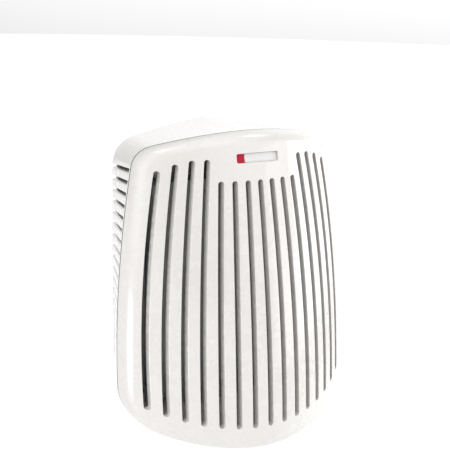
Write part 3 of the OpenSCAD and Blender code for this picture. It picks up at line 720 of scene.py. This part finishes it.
class HousingSide:
    """Outer or inner surface of the housing's roll and wall.

    s runs round it. t runs from -1 at the flat back, over the roll, to 0, and up the wall to 1 at the seam.
    """

    def __init__(self, inset):
        self.inset = inset
        self.roll = HOUSING_ROLL - inset
        dense = np.linspace(0, 10, 4001)
        x, z = housing_line.at(dense, 0)
        x2, z2 = cover_line.at(dense, 0)
        run = np.hypot(np.diff((x + x2) / 2), np.diff((z + z2) / 2))
        self.dense = dense
        self.length = np.concatenate([[0], np.cumsum(run)])

    def at(self, s, t):
        """Points of the surface."""
        s, t = np.broadcast_arrays(np.asarray(s, float), np.asarray(t, float))
        a = (np.clip(t, -1, 0) + 1) * math.pi / 2
        bx, bz = housing_line.at(s, self.inset + self.roll * (1 - np.sin(a)))
        edge = cover_line.at(s, 0)
        seam = face_p(*edge) - SEAM - SEAM_GAP
        rx, rz = cover_line.at(s, self.inset)
        rim = rim_depth(edge, (rx, rz), seam, face_p(0, TOP_MIDDLE) - SEAM - SEAM_GAP)
        up = np.clip(t, 0, 1) * (rim - HOUSING_ROLL)
        w = up / (seam - HOUSING_ROLL)
        depth = np.where(t > 0, HOUSING_ROLL + up, self.inset + self.roll * (1 - np.cos(a)))
        return points(bx + w * (rx - bx), depth, bz + w * (rz - bz))

    def plan(self, s, t):
        """Where a place lies in the flat layout used for triangles."""
        t = np.asarray(t, float)
        up = np.where(t < 0, t * ROLL_SPAN, t * WALL_SPAN)
        return np.stack([np.interp(s, self.dense, self.length), up], -1)

    def unplan(self, flat):
        """(s, t) of places in the flat layout."""
        along, up = flat.T
        return np.interp(along, self.length, self.dense), np.where(up < 0, up / ROLL_SPAN, up / WALL_SPAN)

    def inward(self, s, t):
        """Unit normals into the material."""
        s = np.clip(s, NUDGE, 10 - NUDGE)
        t = np.clip(t, -1 + NUDGE, 1 - NUDGE)
        u = self.at(s + NUDGE, t) - self.at(s - NUDGE, t)
        v = self.at(s, t + NUDGE) - self.at(s, t - NUDGE)
        n = np.cross(u, v)
        n /= np.linalg.norm(n, axis=-1, keepdims=True)
        middle = np.array([0, -30, TOP_MIDDLE])
        facing = np.sum(n * (middle - self.at(s, t)), axis=-1, keepdims=True)
        n = np.where(facing > 0, n, -n)
        return n if not self.inset else -n

    def level(self, s, t):
        """Height of a place, less the rise of the louvres up to its depth."""
        here = self.at(s, t)
        return here[..., 2] + LOUVRE_RISE * (here[..., 1] + LOUVRE_PIVOT)

    def place(self, z, t, side):
        """s on the right (side 1) or left (side -1) where the surface at t has the louvre level z."""
        z, t = np.broadcast_arrays(z, np.asarray(t, float))
        low, high = np.full(t.shape, SIDE[0]), np.full(t.shape, SIDE[1])
        for _ in range(26):
            s = (low + high) / 2
            above = self.level(s, t) > z
            low, high = np.where(above, s, low), np.where(above, high, s)
        return low if side > 0 else 10 - low

    def start(self, z, x):
        """t in the roll where the surface at level z is x from the middle."""
        t = np.linspace(-1, 0, 40)
        return np.interp(x, self.at(self.place(z, t, 1), t)[:, 0], t)

    def end(self, z, depth):
        """t on the wall where the surface at level z has that depth."""
        t = np.linspace(0, 1, 12)
        return np.interp(depth, -self.at(self.place(z, t, 1), t)[:, 1], t)


outer_side, inner_side = HousingSide(0), HousingSide(HOUSING_WALL)
ROLL_ROWS = np.linspace(-1, 0, 9)
WALL_TOP = 1 - RIM_EDGE / WALL_SPAN
WALL_ROWS = np.linspace(0, WALL_TOP, 21)[1:]


def louvre_ends(surface, i, grow):
    """Four levels down one louvre slot, and t at its rear and front end at each."""
    z = LOUVRE_TOP - LOUVRE_PITCH * i
    side_x = COVER_HALF_W - SIDE_ARC + math.sqrt(SIDE_ARC**2 - (z - WIDEST_Z) ** 2)
    front = face_p(side_x, z) - SEAM - LOUVRE_MARGIN + grow
    levels = np.linspace(z + LOUVRE_UP + grow, z - LOUVRE_DOWN - grow * LOUVRE_CHAMFER, 4)
    starts = [surface.start(h, LOUVRE_X - grow) for h in levels]
    return levels, starts, [surface.end(h, front) for h in levels]


@functools.cache
def louvre_rows(i):
    """The rows that cross a louvre slot's top edge and bottom edge, with the ends."""
    _, starts, ends = louvre_ends(outer_side, i, LOUVRE_LIP)
    found = []
    for j in (0, 3):
        roll, wall = ROLL_ROWS[ROLL_ROWS > starts[j] + 0.06], WALL_ROWS[WALL_ROWS < ends[j] - 0.02]
        found.append(np.concatenate([[starts[j]], roll, wall, [ends[j]]]))
    return found


@functools.cache
def louvre_loop(surface, i, side, grow):
    """(s, t) round one louvre slot, from its rear end along the top, and how deep its edge is cut there."""
    if side < 0:
        s, t, cut = louvre_loop(surface, i, 1, grow)
        return 10 - s, t, cut
    h, starts, ends = louvre_ends(surface, i, grow)
    top, low = (np.interp(rows, [rows[0], 0, rows[-1]], [starts[j], 0, ends[j]])
                for j, rows in zip((0, 3), louvre_rows(i)))
    t = np.concatenate([top, ends[1:3], low[::-1], starts[2:0:-1]])
    cut = np.concatenate([np.full(len(top), 0), [1, 2], np.full(len(low), 3), [2, 1]]).astype(int)
    return surface.place(h[cut], t, 1), t, 1 + (LOUVRE_CHAMFER - 1) * cut / 3


def knob_loop(surface, grow):
    """(s, t) round the slot for the button, in the bottom wall."""
    x0 = KNOB_X + grow
    d0, d1 = KNOB_DEPTHS[0] - grow, KNOB_DEPTHS[1] + grow
    xs = np.linspace(-x0, x0, 9)
    ds = np.linspace(d0, d1, 4)
    want = np.array([(x, d0) for x in xs] + [(x0, d) for d in ds[1:-1]] + [(x, d1) for x in xs[::-1]]
                    + [(-x0, d) for d in ds[-2:0:-1]])
    s, t = np.full(len(want), 5.0), np.full(len(want), 0.2)
    for _ in range(8):
        here = surface.at(s, t)
        per_s = (surface.at(s + NUDGE, t) - surface.at(s - NUDGE, t))[:, 0]
        s -= (here[:, 0] - want[:, 0]) * 2 * NUDGE / per_s
        per_t = (surface.at(s, t + NUDGE) - surface.at(s, t - NUDGE))[:, 1]
        t -= (here[:, 1] + want[:, 1]) * 2 * NUDGE / per_t
    return s, t, np.ones(len(s))


def round_loop(x, z, r):
    a = np.arange(ROUND) * 2 * math.pi / ROUND
    return np.stack([x + r * np.cos(a), z + r * np.sin(a)], 1)


def plug_loop(grow):
    """Outline of the opening for the plug block, widened all round by grow."""
    r = PLUG_CORNER + grow
    pts = []
    for cx, cz, first in ((1, 1, 0), (-1, 1, 90), (-1, -1, 180), (1, -1, 270)):
        for a in np.radians(first + np.arange(0, 91, 30)):
            pts.append((cx * (PLUG_HALF[0] + grow - r) + r * math.cos(a),
                        cz * (PLUG_HALF[1] + grow - r) + r * math.sin(a)))
    return np.array(pts)


def wall_holes(surface, grow):
    """(s, t, cut) round every louvre slot and the button's slot."""
    holes = [louvre_loop(surface, i, side, grow) for i in range(LOUVRES) for side in (1, -1)]
    return holes + [knob_loop(surface, grow)]


def wall_grid(surface, s_ring, t_side):
    """Places for triangle corners between the holes, in rows up the wall."""
    bars = [LOUVRE_TOP - LOUVRE_PITCH * (i - 0.5) for i in range(LOUVRES + 1)]
    grid_s, grid_t = [], []
    for t in t_side:
        z = surface.level(s_ring, t)
        clear = s_ring[((z > bars[0] + 1) | (z < bars[-1] - 1)) & (s_ring > 0)]
        grid_s += list(clear)
        grid_t += [t] * len(clear)
    for z in sorted(bars + [z - LOUVRE_PITCH / 2 for z in bars[:-1]]):
        for side in (1, -1):
            grid_s += list(surface.place(z, t_side, side))
            grid_t += list(t_side)
    return np.array(grid_s), np.array(grid_t)


def housing_wall(skin, surface, s_ring, grow):
    """One face of the wall and its roll, with holes for the louvres and the button."""
    t_side = np.concatenate([ROLL_ROWS, WALL_ROWS])
    ring = np.append(s_ring, 10.0)
    ends = len(t_side) - 2
    border_s = np.concatenate([ring, np.full(ends, 10.0), ring[::-1], np.zeros(ends)])
    border_t = np.concatenate([np.full(len(ring), -1.0), t_side[1:-1], np.full(len(ring), WALL_TOP),
                               t_side[-2:0:-1]])
    loops = [(border_s, border_t)] + [hole[:2] for hole in wall_holes(surface, grow)]
    grid = surface.plan(*wall_grid(surface, s_ring, t_side[1:-1]))
    kept, tris = fill([surface.plan(s, t) for s, t in loops], grid, 0.75)
    kept_s, kept_t = surface.unplan(kept)
    all_s = np.concatenate([s for s, _ in loops] + [kept_s])
    all_t = np.concatenate([t for _, t in loops] + [kept_t])
    skin.add(surface.at(all_s, all_t), tris)


def housing_cuts(skin):
    """Walls of the holes, from their rounded outer edges straight to the inner face."""
    steps = [(depth, wall_holes(outer_side, grow)) for grow, depth in lip_steps(LOUVRE_LIP)]
    for k, (s_in, t_in, _) in enumerate(wall_holes(inner_side, 0)):
        rings = []
        for depth, holes in steps:
            s, t, cut = holes[k]
            rings.append(outer_side.at(s, t) + depth * cut[:, None] * outer_side.inward(s, t))
        skin.rings([*rings, inner_side.at(s_in, t_in)])


def housing_rim(skin, s_ring):
    outer, inner = outer_side.at(s_ring, 1), inner_side.at(s_ring, 1)
    across = (inner - outer) / np.linalg.norm(inner - outer, axis=1, keepdims=True)
    # the rim's faces at the seam carry the painted shade of the gap
    skin.rings([outer_side.at(s_ring, WALL_TOP), outer + RIM_EDGE * across, inner - RIM_EDGE * across,
                inner_side.at(s_ring, WALL_TOP)], SEAM_SHADE)


def housing_back(skin, s_ring):
    """Flat back wall, with the plug block's opening and the bumpers' recesses."""
    rows = enumerate(np.arange(-136, 14, 5.2))
    hexes = [(x + 3 * (j % 2), z) for j, z in rows for x in np.arange(-54, 54, 6)]
    border = np.stack(housing_line.at(s_ring, HOUSING_ROLL), 1)
    recesses = [round_loop(x, z, BUMPER_R + HOLE_LIP) for x, z in BUMPERS]
    for depth, extra in ((0, recesses), (HOUSING_WALL, [])):
        loops = [border, plug_loop(HOLE_LIP)] + extra
        kept, tris = fill(loops, hexes, 2.0)
        flat = np.concatenate(loops + [kept])
        skin.add(points(flat[:, 0], depth, flat[:, 1]), tris)
    soft = lip_steps(HOLE_LIP)
    skin.rings([points(plug_loop(g)[:, 0], d, plug_loop(g)[:, 1]) for g, d in both_edges(soft, HOUSING_WALL)])
    for x, z in BUMPERS:
        loops = [(round_loop(x, z, BUMPER_R + g), d) for g, d in [*soft, (0, BUMPER_RECESS)]]
        rings = [points(loop[:, 0], d, loop[:, 1]) for loop, d in loops]
        skin.rings(rings)
        skin.fan(rings[-1], points([x], BUMPER_RECESS, [z]))


def housing_posts(skin):
    """Screw posts with blind holes, and the guides beside the switch."""
    for places, r, front, soft, bottom in POSTS:
        for x, z in places:
            skin.lathe(x, z, [(0, POST_ROOT), (r, POST_ROOT), (r, front - soft), (r - soft, front),
                              (POST_HOLE, front), (POST_HOLE, bottom), (0, bottom)])
    for x in GUIDES_X:
        skin.bar(x, x + GUIDE_W, GUIDE_PROFILE)


def make_housing():
    skin = Skin()
    s_ring = spread(cover_line, 2.1)
    housing_wall(skin, outer_side, s_ring, LOUVRE_LIP)
    housing_wall(skin, inner_side, s_ring, 0)
    housing_cuts(skin)
    housing_rim(skin, s_ring)
    housing_back(skin, s_ring)
    housing_posts(skin)
    skin.make("housing_shell", "housing", ["rear_housing"], [shell_white, seam_painted_shade], "shell_plastic")


make_housing()

# ---- floor and light ----
FLOOR_Z = -0.42
FLOOR_GLOW = 0.05  # light of its own that the floor gives near the object
FLOOR_FAR_GLOW = 0.15  # and behind it
FLOOR_R = 6.0
LOBE = 10  # how narrow a lobe of light is
# Azimuth, elevation and strength of each lobe
LOBES = ((0, 90, 1.4), (0, 45, 1.7), (-60, 45, 1.0), (-80, 8, 1.9), (-150, 8, 0.6), (165, 8, 0.9),
         (130, 8, 0.9), (120, 45, 0.9), (95, 8, 0.7), (25, 8, 1.0), (-10, 8, 0.35))


def stage_floor():
    mesh = bpy.data.meshes.new("floor")
    turns = [2 * math.pi * i / 96 for i in range(96)]
    ring = [(FLOOR_R * math.cos(a), FLOOR_R * math.sin(a), FLOOR_Z) for a in turns]
    mesh.from_pydata(ring, [], [list(range(len(ring)))])
    look = Look("pale_floor", Specular_IOR_Level=0.2)
    look.colour(look.noise(300, 3), (0.9, 0.9, 0.9), (0.94, 0.94, 0.94))
    look.rough(look.noise(40, 3), 0.7, 0.85)
    look.shader.inputs["Emission Color"].default_value = (1, 1, 1, 1)
    apart = look.new("ShaderNodeSeparateXYZ")
    look.links.new(look.place, apart.inputs[0])
    look.links.new(look.ramp(apart.outputs["Y"], FLOOR_GLOW, FLOOR_FAR_GLOW, 0.1, 0.6),
                   look.shader.inputs["Emission Strength"])
    mesh.materials.append(look.mat)
    floor = bpy.data.objects.new("floor", mesh)
    bpy.context.scene.collection.objects.link(floor)


stage_floor()


def softbox(name, place, target, width, height, power):
    """Lit rectangle that faces the target, in metres and watts."""
    data = bpy.data.lights.new(name, "AREA")
    data.shape = "RECTANGLE"
    data.size = width
    data.size_y = height
    data.energy = power
    lamp = bpy.data.objects.new(name, data)
    bpy.context.scene.collection.objects.link(lamp)
    lamp.location = place
    lamp.rotation_mode = "QUATERNION"
    lamp.rotation_quaternion = (Vector(target) - Vector(place)).to_track_quat("-Z", "Y")


def towards(azimuth, elevation):
    """Direction from the object; azimuth 0 is the front and 90 the right."""
    a, e = math.radians(azimuth), math.radians(elevation)
    return math.sin(a) * math.cos(e), -math.cos(a) * math.cos(e), math.sin(e)


for azimuth, power in ((45, 0.8), (70, 1.5), (95, 0.5)):
    x, y, _ = towards(azimuth, 0)
    softbox(f"right_{azimuth}", (x * 0.9, y * 0.9, -0.05), (0, 0, -0.1), 0.35, 0.5, power)
x, y, _ = towards(-80, 0)
softbox("low_left", (x * 0.85, y * 0.85, -0.29), (0, 0, -0.15), 0.22, 0.2, 0.8)
for name, azimuth, elevation, power in (("top_right", 60, 57, 0.7), ("top_left", -70, 52, 0.5)):
    x, y, z = towards(azimuth, elevation)
    softbox(name, (x * 0.9, y * 0.9, z * 0.9), (0, 0, 0), 0.3, 0.3, power)


def studio_world():
    """Soft lobes of light from the directions of a studio's panels."""
    world = bpy.data.worlds.new("studio")
    world.use_nodes = True
    nodes, links = world.node_tree.nodes, world.node_tree.links
    toward = nodes.new("ShaderNodeTexCoord").outputs["Generated"]
    total = None
    for azimuth, elevation, strength in LOBES:
        dot = nodes.new("ShaderNodeVectorMath")
        dot.operation = "DOT_PRODUCT"
        dot.inputs[1].default_value = towards(azimuth, elevation)
        links.new(toward, dot.inputs[0])
        narrow = nodes.new("ShaderNodeMath")
        narrow.operation = "MULTIPLY_ADD"
        narrow.inputs[1].default_value = LOBE
        narrow.inputs[2].default_value = math.log(strength) - LOBE
        links.new(dot.outputs["Value"], narrow.inputs[0])
        lobe = nodes.new("ShaderNodeMath")
        lobe.operation = "EXPONENT"
        links.new(narrow.outputs["Value"], lobe.inputs[0])
        if total is None:
            total = lobe.outputs["Value"]
        else:
            add = nodes.new("ShaderNodeMath")
            links.new(total, add.inputs[0])
            links.new(lobe.outputs["Value"], add.inputs[1])
            total = add.outputs["Value"]
    links.new(total, nodes["Background"].inputs["Strength"])
    nodes["Background"].inputs["Color"].default_value = (1, 1, 1, 1)
    bpy.context.scene.world = world


studio_world()
bpy.context.scene.view_settings.view_transform = "Standard"
